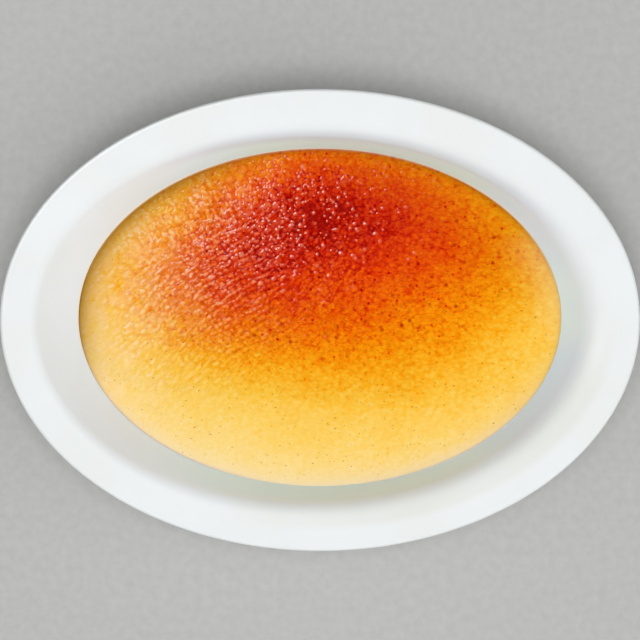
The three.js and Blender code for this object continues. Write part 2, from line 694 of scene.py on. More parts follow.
@dataclass(frozen=True)
class PorcelainGlaze:
    """White glazed porcelain, wiped bare under the foot ring."""

    glaze: Colour = linear(238, 242, 243)
    thin_glaze: Colour = linear(236, 239, 238)
    cloud: Noise = Noise(38.0, 3.0)
    cloud_edge: Fade = Fade(0.35, 0.65)
    # Painted cool shade on the inner wall: greener at the far side and bluer at the right
    painted_wall_shade: Colour = linear(228, 247, 250)
    far_wall_shade: Colour = linear(222, 252, 242)
    cool_wall_shade: Colour = linear(221, 239, 255)
    # Painted shade on the near right shoulder, where the glaze is also duller
    dull_shade: Colour = linear(248, 247, 242)
    # Painted shade on the far shoulder
    shaded: Colour = linear(239, 238, 243)
    cream: Colour = linear(252, 240, 216)
    cream_edge: Fade = Fade(21.0 * MM, 21.7 * MM, 1.0, 0.0)
    bare: Colour = linear(222, 214, 200)
    bare_edge: Fade = Fade(0.315 * MM, 0.45 * MM)
    roughness: float = 0.3
    dull_roughness: float = 0.56
    bare_roughness: float = 0.8
    ripple: Noise = Noise(160.0, 1.0)
    ripple_height: float = 0.02 * MM
    ior: float = 1.5

    def material(self) -> bpy.types.Material:
        """Mixes glaze and bare clay by height, with a faint ripple and cloud in the glaze.

        A painted cool shade greys the glaze down the inner wall, and a line of dried cream lies on it just
        above the filling. Painted shade darkens both shoulders, and the near right one is also duller.

        Returns:
            The material.
        """
        shader = Shader("porcelain_glaze")
        height = shader.node("ShaderNodeSeparateXYZ")
        shader.link(shader.place(), height.inputs[0])
        cloud = shader.between(shader.noise(self.cloud), self.cloud_edge)
        glaze = shader.mix(cloud, self.thin_glaze, self.glaze)
        # Painted cool shade down the inner wall, by bearing and depth
        painted_wall_shade = shader.mix(shader.attribute("far_wall"), self.painted_wall_shade, self.far_wall_shade)
        painted_wall_shade = shader.mix(shader.attribute("cool_wall"), painted_wall_shade, self.cool_wall_shade)
        glaze = shader.mix(shader.attribute("painted_wall_shading"), glaze, painted_wall_shade)
        line = shader.between(height.outputs[2], self.cream_edge)
        line = shader.product(line, shader.attribute("cream_line"))
        glaze = shader.mix(line, glaze, self.cream)
        # The near right shoulder: a duller glaze, and painted shade multiplied into its colour
        dull_shade = shader.attribute("dull_shaded_shoulder")
        glaze = shader.mix(dull_shade, glaze, self.dull_shade, "MULTIPLY")
        # Painted shade on the far shoulder
        glaze = shader.mix(shader.attribute("far_shoulder"), glaze, self.shaded, "MULTIPLY")
        glazed = shader.between(height.outputs[2], self.bare_edge)
        smooth = shader.between(dull_shade, Fade(0.0, 1.0, self.roughness, self.dull_roughness))
        shader.bump(shader.noise(self.ripple), self.ripple_height)
        return shader.settle(
            Base_Color=shader.mix(glazed, self.bare, glaze),
            Roughness=shader.between(glazed, Fade(0.0, 1.0, self.bare_roughness, smooth)),
            IOR=self.ior,
        )


@dataclass(frozen=True)
class TorchedCustard:
    """Baked vanilla custard whose skin goes from pale yellow through amber to dark red caramel."""

    name: str = "torched_custard"
    stops: tuple[tuple[float, Colour], ...] = (
        (0.0, linear(251, 220, 144)),
        (0.06, linear(251, 208, 102)),
        (0.14, linear(250, 194, 64)),
        (0.25, linear(249, 173, 26)),
        (0.37, linear(247, 150, 6)),
        (0.5, linear(242, 126, 1)),
        (0.64, linear(236, 96, 0)),
        (0.78, linear(225, 60, 0)),
        (0.9, linear(206, 26, 0)),
        (1.0, linear(160, 4, 0)),
    )

    # What varies the browning. Each reach says how strong it is as the skin browns.
    fine: Noise = Noise(1700.0, 3.0, 0.65, (0.6, 1.1, 1.0))
    fine_reach: Fade = Fade(0.05, 0.6, 0.07, 0.42)
    toast: Dots = Dots(2.0 * MM, 0.28, 0.3)
    toast_reach: Fade = Fade(0.05, 0.45, 0.04, 0.36)
    patches: Noise = Noise(620.0, 3.0, 0.7, (0.8, 1.15, 1.0))
    patch_edge: Fade = Fade(0.5, 0.66)
    patch_reach: Fade = Fade(0.15, 0.5, 0.0, 0.18)
    dryness: Fade = Fade(0.0, 0.3, 1.0, 0.1)

    # What is burnt darker, and the pits' darkening, which is partly painted shade
    pit_burn_and_shade: Colour = linear(212, 190, 160)
    char: Colour = linear(200, 158, 118)
    char_noise: Noise = Noise(1250.0, 3.0, 0.8, (0.8, 1.0, 1.0))
    char_edge: Fade = Fade(0.3, 0.52, 1.0, 0.0)
    char_reach: Fade = Fade(0.02, 0.5, 0.03, 0.5)
    scorched: Colour = linear(206, 112, 60)
    scorch_dots: Dots = Dots(2.6 * MM, 0.32, 0.15)
    scorch_reach: Fade = Fade(0.15, 0.5, 0.0, 1.0)
    speck: Colour = linear(218, 150, 84)
    speck_dots: Dots = Dots(1.5 * MM, 0.16, 0.25)

    # What lies over it all
    # Milky sugar, partly standing in as painted highlight and sheen on pebble and bead tops
    milk_and_sheen: Colour = linear(255, 217, 184)
    most_milk_and_sheen: float = 0.38
    shade: Colour = linear(166, 147, 74)
    cream: Colour = linear(252, 236, 212)
    seam: Colour = linear(208, 202, 240)
    tint: Colour = (1.0, 1.0, 1.0)

    # How it shines
    ior: float = 1.45
    shine: float = 0.06
    roughness: Fade = Fade(0.1, 0.7, 0.24, 0.18)
    grit: Noise = Noise(1500.0, 2.0, 0.6)
    grit_height: float = 0.008 * MM
    coat: float = 1.0
    coat_roughness: float = 0.09
    coat_ior: float = 1.8
    glow: float = 0.12
    glow_spread: tuple[float, float, float] = (1.0, 0.45, 0.15)
    glow_depth: float = 0.8 * MM

    def browned(self, shader: Shader, brown: Socket, dry: Socket) -> Socket:
        """Adds mottling, toasted spots and darker patches to the browning.

        Args:
            shader: The finish's node tree.
            brown: How brown each place is.
            dry: How dry the sugar is there.

        Returns:
            The uneven browning.
        """
        fine = shader.maths("SUBTRACT", shader.noise(self.fine), 0.5)
        fine = shader.product(fine, shader.between(brown, self.fine_reach))
        mottled = shader.maths("ADD", brown, fine)
        toast = shader.product(shader.dots(self.toast), shader.between(brown, self.toast_reach))
        mottled = shader.maths("ADD", mottled, toast)
        patches = shader.between(shader.noise(self.patches), self.patch_edge)
        patches = shader.product(patches, shader.between(brown, self.patch_reach))
        return shader.maths("ADD", mottled, shader.product(patches, dry), clamp=True)

    def burnt(self, shader: Shader, colour: Socket, brown: Socket, dry: Socket) -> Socket:
        """Darkens the pits between the pebbles, as browner caramel and as painted shade, and adds charred
        and scorched spots and specks.

        Args:
            shader: The finish's node tree.
            colour: The skin's colour.
            brown: How brown each place is.
            dry: How dry the sugar is there.

        Returns:
            The burnt skin's colour.
        """
        char = shader.between(shader.noise(self.char_noise), self.char_edge)
        scorch = shader.product(shader.dots(self.scorch_dots), shader.between(brown, self.scorch_reach))
        burns = (
            (shader.attribute("pits"), self.pit_burn_and_shade),
            # The pits' darkening: browner caramel and painted shade
            (shader.product(char, shader.between(brown, self.char_reach)), self.char),
            (shader.product(scorch, dry), self.scorched),
            (shader.dots(self.speck_dots), self.speck),
        )
        for share, burn in burns:
            colour = shader.mix(share, colour, burn, "MULTIPLY")
        return colour

    def material(self) -> bpy.types.Material:
        """Looks up the uneven browning's colour, burns it with partly painted shade in its pits, and adds
        milky sugar with painted highlights and sheen, the edge's tones and a coat.

        Returns:
            The material.
        """
        shader = Shader(self.name)
        brown, wet = shader.attribute("browning"), shader.attribute("wetness")
        dry = shader.between(wet, self.dryness)
        colour = shader.ramp(self.browned(shader, brown, dry), self.stops)
        colour = self.burnt(shader, colour, brown, dry)
        # Milky sugar mixed in, partly a painted highlight on tops and a painted sheen at the left
        milky = shader.product(shader.attribute("milkiness_and_sheen"), self.most_milk_and_sheen)
        colour = shader.mix(milky, colour, self.milk_and_sheen)
        colour = shader.mix(shader.attribute("edge_shade"), colour, self.shade, "MULTIPLY")
        colour = shader.mix(shader.attribute("edge_pale"), colour, self.cream)
        colour = shader.mix(shader.attribute("seam"), colour, self.seam, "MULTIPLY")
        shader.bump(shader.noise(self.grit), self.grit_height)
        return shader.settle(
            Base_Color=shader.mix(1.0, colour, self.tint, "MULTIPLY"),
            Roughness=shader.between(brown, self.roughness),
            IOR=self.ior,
            Specular_IOR_Level=self.shine,
            Subsurface_Weight=self.glow,
            Subsurface_Radius=self.glow_spread,
            Subsurface_Scale=self.glow_depth,
            Coat_Weight=shader.maths("MULTIPLY", wet, self.coat, clamp=True),
            Coat_Roughness=self.coat_roughness,
            Coat_IOR=self.coat_ior,
        )


@dataclass(frozen=True)
class FloorFinish:
    """The floor's plain, slightly cloudy grey."""

    colour: Colour = linear(196, 196, 194)
    darkest: float = 0.8
    cloud: Noise = Noise(400.0)
    roughness: float = 0.7

    def material(self) -> bpy.types.Material:
        """Makes the material.

        Returns:
            The material.
        """
        shader = Shader("studio_floor")
        darker = tuple(self.darkest * each for each in self.colour)
        colour = shader.mix(shader.noise(self.cloud), darker, self.colour)
        return shader.settle(Base_Color=colour, Roughness=self.roughness)


# ---------------------------------------------------------------- the dish


@dataclass(frozen=True)
class GlazeShades:
    """Where painted shade cools or greys the glaze inside the dish, where it is creamy, and where it is
    duller.
    """

    # Painted cool shade: how deep it reaches below the shoulder, and where it is left out
    shading_depth: float = 6.0 * MM
    unshaded: Sector = Sector(180.0, 0.35, 0.5)
    creamy: Sector = Sector(110.0, -0.1, 0.5)
    far_wall: Sector = Sector(75.0, 0.7, 0.22)
    cool_walls: tuple[Sector, Sector] = (Sector(332.0, 0.9, 0.08), Sector(33.0, 0.93, 0.06, 0.5))
    # Painted shade on the near right shoulder, where the glaze is also duller
    dull_shaded_shoulder: Sector = Sector(307.0, 0.5, 0.45)
    dull_shade_heights: Fade = Fade(28.6 * MM, 30.2 * MM)
    # Painted shade on the far shoulder
    far_shoulder: Sector = Sector(76.0, 0.55, 0.35)
    far_rise: Fade = Fade(27.2 * MM, 28.4 * MM)
    far_fall: Fade = Fade(30.0 * MM, 31.4 * MM, 1.0, 0.0)

    def at(self, turn: Array, height: Array, shoulder: float) -> dict[str, Array]:
        """Works out every share on the inside of the dish.

        Args:
            turn: Which way the points lie, one turn for each column.
            height: How high the points lie, rows by columns.
            shoulder: The height at which the rim rounds into the wall.

        Returns:
            The shares by the names of their attributes.
        """
        painted_wall_shade = Fade(shoulder - self.shading_depth, shoulder, 1.0, 0.0).at(height)
        far_heights = self.far_rise.at(height) * self.far_fall.at(height)
        return {
            "painted_wall_shading": painted_wall_shade * (1.0 - self.unshaded.share_at(turn)),
            "cream_line": self.creamy.share_at(turn),
            "far_wall": self.far_wall.share_at(turn),
            "cool_wall": sum(each.share_at(turn) for each in self.cool_walls),
            "dull_shaded_shoulder": self.dull_shade_heights.at(height) * self.dull_shaded_shoulder.share_at(turn),
            "far_shoulder": far_heights * self.far_shoulder.share_at(turn),
        }


@dataclass(frozen=True)
class Dish:
    """The oval dish: a foot ring, a leaning wall and a wide flat rim, in glazed porcelain."""

    plan: OvalPlan = OvalPlan()
    height: float = 32.0 * MM
    rim_width: float = 13.4 * MM
    left_rim_width: float = 9.4 * MM
    rim_fall: float = 0.5 * MM
    rim_thickness: float = 3.6 * MM
    lip_radius: float = 1.0 * MM
    shoulder_radius: float = 10.5 * MM
    left_shoulder_radius: float = 4.0 * MM
    fill_height: float = 21.0 * MM
    fill_half_length: float = 68.8 * MM
    wall_lean: float = math.radians(45.0)
    wall_thickness: float = 4.0 * MM
    under_rim_radius: float = 4.0 * MM
    base_radius: float = 12.0 * MM
    floor_height: float = 5.5 * MM
    floor_radius: float = 16.0 * MM
    foot_height: float = 1.8 * MM
    foot_outer: float = 48.5 * MM
    foot_width: float = 4.6 * MM
    foot_radius: float = 0.8 * MM
    inner_rings: int = 42
    segments: int = 320
    shades: GlazeShades = GlazeShades()

    def inner_wall_at(self, height: float) -> float:
        """Half-length of the wall's inner face at a height, up to the filling's."""
        return self.fill_half_length - (self.fill_height - height) / math.tan(self.wall_lean)

    def outer_wall_at(self, height: float) -> float:
        """Half-length of the wall's outer face at a height, parallel to the inner face."""
        return self.inner_wall_at(height) + self.wall_thickness / math.sin(self.wall_lean)

    def profile(self, rim_width: float, shoulder_radius: float) -> Array:
        """The profile, out under the foot, up the outside, over the rim and down to the floor.

        Args:
            rim_width: The width of the rim there.
            shoulder_radius: The radius that rounds the rim into the wall there.

        Returns:
            Points of the profile, two numbers each.
        """
        foot_inner = self.foot_outer - self.foot_width
        under_rim = self.height - self.rim_thickness
        corners = [
            Corner(0.0, self.foot_height),
            Corner(foot_inner, self.foot_height, self.foot_radius),
            Corner(foot_inner, 0.0, self.foot_radius),
            Corner(self.foot_outer, 0.0, self.foot_radius),
            Corner(self.foot_outer, self.foot_height, self.foot_radius),
            Corner(self.outer_wall_at(self.foot_height), self.foot_height, self.base_radius),
            Corner(self.outer_wall_at(under_rim), under_rim, self.under_rim_radius),
            Corner(self.plan.half_length, under_rim, self.lip_radius),
            Corner(self.plan.half_length, self.height, self.lip_radius),
            Corner(self.plan.half_length - rim_width, self.height - self.rim_fall, shoulder_radius),
            Corner(self.fill_half_length, self.fill_height),
            Corner(self.inner_wall_at(self.floor_height), self.floor_height, self.floor_radius),
            Corner(0.0, self.floor_height),
        ]
        return profile_through(corners)

    def build(self) -> bpy.types.Object:
        """Turns the profile into a closed mesh.

        The profile goes smoothly from the soft shoulder at the right to the crisper one at the
        left, by the square of half of one less the turn's cosine. A point of the mesh is the
        profile's distance times that cosine along X, the matching half-width times the turn's
        sine along Y, and the profile's height along Z.

        Returns:
            The dressed dish.
        """
        soft = self.profile(self.rim_width, self.shoulder_radius)
        crisp = self.profile(self.left_rim_width, self.left_shoulder_radius)
        turn = np.linspace(0.0, 2.0 * math.pi, self.segments, endpoint=False)
        crispness = ((1.0 - np.cos(turn)) / 2.0) ** 2
        rings = (soft[:, None, :] + (crisp - soft)[:, None, :] * crispness[None, :, None])[1:-1]
        along = rings[..., 0] * np.cos(turn)
        across = self.plan.half_width_of(rings[..., 0]) * np.sin(turn)
        ends = np.array([[0.0, 0.0, soft[0, 1]], [0.0, 0.0, soft[-1, 1]]])
        points = np.concatenate([np.stack([along, across, rings[..., 1]], axis=2).reshape(-1, 3), ends])
        numbers = np.arange(along.size).reshape(along.shape)
        quads = np.concatenate([strip_faces(low, high) for low, high in zip(numbers, numbers[1:])])
        under = fan_faces(len(points) - 2, numbers[0][::-1])
        floor = fan_faces(len(points) - 1, numbers[-1])
        piece = make_piece("porcelain_dish", points, [quads, under, floor], PorcelainGlaze().material())
        inside = np.zeros_like(along)
        inside[-self.inner_rings :] = 1.0
        shades = self.shades.at(turn, rings[..., 1], self.height - self.rim_fall)
        for name, values in shades.items():
            add_attribute(piece, name, np.concatenate([(inside * values).ravel(), [0.0, 0.0]]))
        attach(piece, BODY)
        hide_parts("dish")
        return piece


# ---------------------------------------------------------------- the crust

# A zone's bell curve is raised by this and cut off at the zone's strength, for a flat top
FLAT_TOP = 1.25

# Keeps places that no grain reaches from dividing nought by nought
LEAST_WEIGHT = 1e-9


@dataclass(frozen=True)
class TorchPass:
    """One pass of the torch: a turned oval patch that browns most in its middle.

    Its places and sizes are in millimetres, and its turn is in degrees.
    """

    x: float
    y: float
    half_length: float
    half_width: float
    turn: float
    strength: float

    def heat_at(self, x: Array, y: Array) -> Array:
        """The heat at some places: a bell curve over the patch's oval.

        Args:
            x: Places along X, in metres.
            y: Places along Y.

        Returns:
            Shares of the same shape.
        """
        turn = math.radians(self.turn)
        right, up = x - self.x * MM, y - self.y * MM
        along = (right * math.cos(turn) + up * math.sin(turn)) / (self.half_length * MM)
        across = (up * math.cos(turn) - right * math.sin(turn)) / (self.half_width * MM)
        return self.strength * np.exp(-(along**2) - across**2)


@dataclass(frozen=True)
class Blisters:
    """Swells that the torch raises, spread evenly and higher where it scorched the sugar."""

    count: int = 150
    least_radius: float = 2.2 * MM
    most_radius: float = 4.6 * MM
    least_height: float = 0.15 * MM
    most_height: float = 0.5 * MM
    edge: float = 0.93
    centre_rise: float = 0.4 * MM
    scorch: TorchPass = TorchPass(-6.0, 19.0, 52.0, 31.0, 0.0, 1.0)
    even_steps: tuple[float, float, float, float] = (0.7548776662, 0.569840291, 0.618033989, 0.414213562)

    def relief_at(self, x: Array, y: Array, half_length: float, half_width: float) -> Array:
        """The swells' height over the custard's level.

        Every swell is a bell curve. Multiples of four irrational steps, less their whole parts,
        give its place, height and radius. All fade out towards the custard's edge.

        Args:
            x: Places along X.
            y: Places along Y.
            half_length: The custard's half-length at its level.
            half_width: Its half-width there.

        Returns:
            Heights of the same shape.
        """
        shares = np.modf(np.arange(1, self.count + 1)[:, None] * np.array(self.even_steps))[0]
        along, across = 2.0 * shares[:, 0] - 1.0, 2.0 * shares[:, 1] - 1.0
        inside = np.hypot(along, across) < self.edge
        middle_x, middle_y = along[inside] * half_length, across[inside] * half_width
        tall = self.least_height + (self.most_height - self.least_height) * shares[inside, 2]
        tall = tall * self.scorch.heat_at(middle_x, middle_y)
        radius = self.least_radius + (self.most_radius - self.least_radius) * shares[inside, 3]
        outward = np.hypot(x / half_length, y / half_width)
        height = self.centre_rise * (1.0 - outward**2)
        for swell in range(len(tall)):
            away = ((x - middle_x[swell]) ** 2 + (y - middle_y[swell]) ** 2) / radius[swell] ** 2
            height = height + tall[swell] * np.exp(-away)
        return height * eased((1.0 - outward) / (1.0 - self.edge))


@dataclass(frozen=True)
class Crust:
    """The custard's top: where it is browned, and how it is pebbled."""

    half_length: float
    half_width: float
    blisters: Blisters = Blisters()

    # Where the torch went, and where the crust is rough, wet, or milky with painted highlights and sheen
    passes: tuple[TorchPass, ...] = (
        TorchPass(1, 30, 28, 16, 0, 0.84),
        TorchPass(-16, 18, 32, 18, 14, 0.7),
        TorchPass(31, 22.5, 26, 17, -8, 0.48),
        TorchPass(-4, 2, 34, 15, 0, 0.2),
        TorchPass(1, 42, 25, 10, 0, 0.28),
        TorchPass(9, 8, 48, 31, -7, 0.42),
        TorchPass(33, 37, 11, 7, -10, 0.14),
        TorchPass(-36, -14, 16, 10, 20, 0.035),
    )
    rough_zones: tuple[TorchPass, ...] = (
        TorchPass(-16, 22, 36, 24, 8, 1.0),
        TorchPass(-34, -2, 30, 20, 25, 0.75),
    )
    wet_zones: tuple[TorchPass, ...] = (
        TorchPass(-3, 27, 29, 15.5, 6, 0.72),
        TorchPass(-34, 16, 23, 20, 20, 0.2),
    )
    # Where pebble tops are lightened: partly milky sugar, partly a painted highlight
    milk_and_highlight_zones: tuple[TorchPass, ...] = (
        TorchPass(-57, 8, 24, 32, 0, 0.9),
        TorchPass(-31, 29, 13, 9, 20, 0.4),
        TorchPass(-30, 14, 17, 11, 20, 0.2),
    )
    # A painted sheen over the left end
    painted_sheen_zone: TorchPass = TorchPass(-62, 1, 17, 34, 0, 0.56)

    # Its pebbles and fine grains
    grains: tuple[tuple[TorchPass, Grain], ...] = (
        (TorchPass(-24, 12, 22, 17, 25, 1.0), Grain(0.88 * MM, 31.0, 1.35, 11, 1.7 * MM, 0.6)),
        (
            TorchPass(-52, -6, 20, 26, 0, 1.0),
            Grain(0.86 * MM, 42.0, 1.7, 17, 2.1 * MM, 0.55, 0.9, warp=0.4 * MM),
        ),
        (TorchPass(-40, 32, 22, 14, 25, 1.0), Grain(0.95 * MM, 118.0, 1.4, 29, 2.0 * MM, 0.35)),
        (TorchPass(8, 16, 22, 20, 0, 1.0), Grain(0.95 * MM, 48.0, 1.1, 23, 2.2 * MM, 0.4)),
        (TorchPass(0, 42, 32, 11, 0, 1.0), Grain(0.95 * MM, 100.0, 1.2, 37)),
    )
    right_grain: Grain = Grain(1.0 * MM, -6.0, 1.8, 41)
    fine_grain: Grain = Grain(0.8 * MM, seed=53)
    pebble_height: float = 0.165 * MM
    melted_down: float = 0.6
    smooth_height: float = 0.035 * MM
    fine_height: float = 0.03 * MM
    fine_on_smooth: float = 0.4
    flat_edge: float = 2.0 * MM

    # How uneven the browning is, and how its pits burn and take painted shade
    unevenness: tuple[float, float, float] = (0.03, 1.03, 0.75)
    mean_pebble: float = 0.4
    mean_grain: float = 0.5
    smooth_pits: float = 0.6
    pit_browning: float = 0.85
    broad_patches: Patches = Patches(7.0 * MM, 3, 0.1)
    small_patches: Patches = Patches(1.2 * MM, 7, 0.14)
    pit_edge: Fade = Fade(0.04, 0.34, 1.0, 0.0)
    pit_burns_and_shade: tuple[Fade, Fade] = (Fade(0.0, 0.6, 0.1, 0.6), Fade(0.7, 0.9, 0.0, 0.15))

    # How milky the sugar is, with its painted highlights and sheen
    top_edge: Fade = Fade(0.2, 0.7)
    sheen_patches: Patches = Patches(2.6 * MM, 67, 0.8)
    milk_and_sheen_patches: Patches = Patches(2.2 * MM, 61, 1.2)
    thickest_patch: float = 2.2
    most_milk_and_sheen_share: float = 1.6

    # How its edge differs, by bearing and by how far inside the edge a place lies
    upper_left: Sector = Sector(152.0, 0.55, 0.4)
    upper_left_band: Band = Band(3.9 * MM, 1.25)
    upper_right: Sector = Sector(52.0, 0.5, 0.5, 0.28)
    upper_right_band: Band = Band(20.0 * MM)
    far_line: Sector = Sector(90.0, 0.0, 0.8, 0.64)
    least_line: float = 0.16
    line_width: float = 0.5 * MM
    line_band: Band = Band(1.0 * MM, 1.0)
    ends: Fade = Fade(0.0, 0.6)
    seamless: Sector = Sector(90.0, 0.0, 0.8)
    seam_strength: float = 0.8
    seam_difference: float = 0.2
    seam_band: Band = Band(0.45 * MM)
    near_side: Sector = Sector(270.0, 0.1, 0.8, 0.5)
    near_band: Band = Band(3.0 * MM, 1.2)
    film: float = 0.4
    filmless: Sector = Sector(180.0, 0.9, 0.1)
    film_band: Band = Band(0.3 * MM, 3.0)
    right_end: Sector = Sector(11.0, 0.92, 0.08, 0.12)
    right_band: Band = Band(6.0 * MM)

    @staticmethod
    def covered(zones: tuple[TorchPass, ...], x: Array, y: Array) -> Array:
        """How far some zones together cover places, each with the flat top of a cut-off bell curve."""
        return joined(*(np.clip(FLAT_TOP * zone.heat_at(x, y), 0.0, zone.strength) for zone in zones))

    def pebbles_at(self, x: Array, y: Array) -> Array:
        """Height of the pebbles as a share: each zone's own grain, weighted by its heat cubed.

        Args:
            x: Places along X.
            y: Places along Y.

        Returns:
            Shares of the same shape.
        """
        total, weights = np.zeros_like(x), np.full_like(x, LEAST_WEIGHT)
        for zone, grain in self.grains:
            weight = zone.heat_at(x, y) ** 3
            total = total + weight * grain.share_at(x, y)
            weights = weights + weight
        return total / weights

    def heat_at(self, x: Array, y: Array) -> Array:
        """How far the torch browned the skin: each pass browns a share of what the others left pale."""
        return joined(*(each.heat_at(x, y) for each in self.passes))

    def browning_at(self, x: Array, y: Array) -> Array:
        """How brown the skin is, from nought to one.

        Soft patches vary what the torch did, and the pits between the pebbles are browner than
        the pebbles. How uneven it is follows a curve of the browning itself: little where the
        skin is pale, and most where it is medium brown.

        Args:
            x: Places along X.
            y: Places along Y.

        Returns:
            Shares of the same shape.
        """
        brown = self.heat_at(x, y)
        least, rise, fall = self.unevenness
        uneven = least + brown * (rise - fall * brown)
        rough = self.covered(self.rough_zones, x, y)
        pits = rough * (self.mean_pebble - self.pebbles_at(x, y))
        shallow = self.smooth_pits * (self.mean_grain - self.right_grain.share_at(x, y))
        brown = brown + self.pit_browning * uneven * (pits + (1.0 - rough) * shallow)
        for patches in (self.broad_patches, self.small_patches):
            brown = brown + uneven * patches.at(x, y)
        return np.clip(brown, 0.0, 1.0)

    def dress(
        self,
        piece: bpy.types.Object,
        x: Array,
        y: Array,
        darkest: float = 1.0,
        milk_and_sheen: Array | float = 0.0,
        pitted: float = 1.0,
    ) -> None:
        """Stores on a piece's points all that its finish reads.

        Args:
            piece: A piece of the crust or on it.
            x: Its points' places along X.
            y: Its points' places along Y.
            darkest: The most browning that the piece may have.
            milk_and_sheen: How milky its points are where the crust isn't.
            pitted: How far the crust's pit darkening, partly painted shade, shows on it.
        """
        bearing, inset = self.from_edge(x, y)
        shares = {
            "browning": np.minimum(self.browning_at(x, y), darkest),
            "edge_shade": self.edge_shade_at(bearing, inset),
            "edge_pale": self.edge_pale_at(bearing, inset),
            "seam": self.seam_at(bearing, inset),
            "milkiness_and_sheen": self.milkiness_and_sheen_at(x, y, milk_and_sheen),
            "wetness": self.covered(self.wet_zones, x, y),
            "pits": pitted * self.pit_burn_and_shade_at(x, y),
        }
        for name, values in shares.items():
            add_attribute(piece, name, values)

    def pit_burn_and_shade_at(self, x: Array, y: Array) -> Array:
        """How far the pits between the pebbles darken, partly burnt and partly painted shade: most where
        the crust is rough and brown.

        Args:
            x: Places along X.
            y: Places along Y.

        Returns:
            Shares of the same shape.
        """
        pits = self.covered(self.rough_zones, x, y) * self.pit_edge.at(self.pebbles_at(x, y))
        heat = self.heat_at(x, y)
        return pits * sum(burn.at(heat) for burn in self.pit_burns_and_shade)

    def milkiness_and_sheen_at(self, x: Array, y: Array, milk_and_sheen: Array | float) -> Array:
        """How milky the sugar is, in patches: partly milky sugar, partly painted highlight and sheen.

        It is lighter on top of the pebbles, a painted highlight, and a painted sheen lies all over at
        the left end. It is milky where a piece is milky itself: on the beads, a painted highlight on their
        tops.

        Args:
            x: Places along X.
            y: Places along Y.
            milk_and_sheen: The piece's own milkiness there.

        Returns:
            Shares of the same shape.
        """
        tops = self.covered(self.milk_and_highlight_zones, x, y) * self.top_edge.at(self.pebbles_at(x, y))
        painted_sheen = self.painted_sheen_zone.heat_at(x, y) * (1.0 + self.sheen_patches.at(x, y))
        patches = np.clip(1.0 + self.milk_and_sheen_patches.at(x, y), 0.0, self.thickest_patch)
        patchy = np.clip(patches * joined(tops, milk_and_sheen), 0.0, self.most_milk_and_sheen_share)
        return patchy + np.clip(1.0 - patchy, 0.0, 1.0) * painted_sheen

    def from_edge(self, x: Array, y: Array) -> tuple[Array, Array]:
        """Which way places lie from the middle, and how far inside the custard's edge.

        Args:
            x: Places along X.
            y: Places along Y.

        Returns:
            Bearings and distances, each of the same shape.
        """
        outward = np.hypot(x / self.half_length, y / self.half_width)
        bearing = np.arctan2(y / self.half_width, x / self.half_length)
        depth = np.hypot(self.half_length * np.sin(bearing), self.half_width * np.cos(bearing))
        depth = self.half_length * self.half_width / depth
        return bearing, np.clip(1.0 - outward, 0.0, None) * depth

    def edge_shade_at(self, bearing: Array, inset: Array) -> Array:
        """How far the skin darkens towards the wall.

        A wide band darkens at the upper left, a faint wider one at the upper right, and a narrow
        line where the skin meets the wall all along the far side. All die away with the distance
        from the edge.

        Args:
            bearing: Which way the places lie from the middle.
            inset: How far they lie inside the edge.

        Returns:
            Shares of the same shape.
        """
        wide = self.upper_left.share_at(bearing) * self.upper_left_band.share_at(inset)
        faint = self.upper_right.share_at(bearing) * self.upper_right_band.share_at(inset)
        past_line = np.clip(inset - self.line_width, 0.0, None)
        line = (self.least_line + self.far_line.share_at(bearing)) * self.line_band.share_at(past_line)
        return np.clip(joined(wide, faint, line), 0.0, 1.0)

    def seam_at(self, bearing: Array, inset: Array) -> Array:
        """How far the narrow, shaded seam along the wall shows: round both ends of the near side.

        Args:
            bearing: Which way the places lie from the middle.
            inset: How far they lie inside the edge.

        Returns:
            Shares of the same shape.
        """
        ends = self.ends.at(np.abs(np.cos(bearing))) * (1.0 - self.seamless.share_at(bearing))
        strength = self.seam_strength - self.seam_difference * np.cos(bearing)
        return ends * strength * self.seam_band.share_at(inset)

    def edge_pale_at(self, bearing: Array, inset: Array) -> Array:
        """How far the skin pales to cream: along the near side, and in a thin film along the wall.

        It also pales a little at the right end.

        Args:
            bearing: Which way the places lie from the middle.
            inset: How far they lie inside the edge.

        Returns:
            Shares of the same shape.
        """
        near_side = self.near_side.share_at(bearing) * self.near_band.share_at(inset)
        film = self.film * (1.0 - self.filmless.share_at(bearing)) * self.film_band.share_at(inset)
        right_end = self.right_end.share_at(bearing) * self.right_band.share_at(inset)
        return joined(near_side, film, right_end)

    def relief_at(self, x: Array, y: Array) -> Array:
        """Height of the crust over the custard's level: swells, then pebbles, then a fine grain.

        Args:
            x: Places along X.
            y: Places along Y.

        Returns:
            Heights of the same shape.
        """
        outward = np.hypot(x / self.half_length, y / self.half_width)
        rough = self.covered(self.rough_zones, x, y)
        pebble_height = self.pebble_height * (1.0 - self.melted_down * self.heat_at(x, y))
        height = pebble_height * rough * self.pebbles_at(x, y)
        height = height + self.smooth_height * (1.0 - rough) * self.right_grain.share_at(x, y)
        fine = self.fine_on_smooth + (1.0 - self.fine_on_smooth) * rough
        height = height + self.fine_height * fine * self.fine_grain.share_at(x, y)
        fading = eased((1.0 - outward) * self.half_width / self.flat_edge)
        swells = self.blisters.relief_at(x, y, self.half_length, self.half_width)
        return swells + fading * height


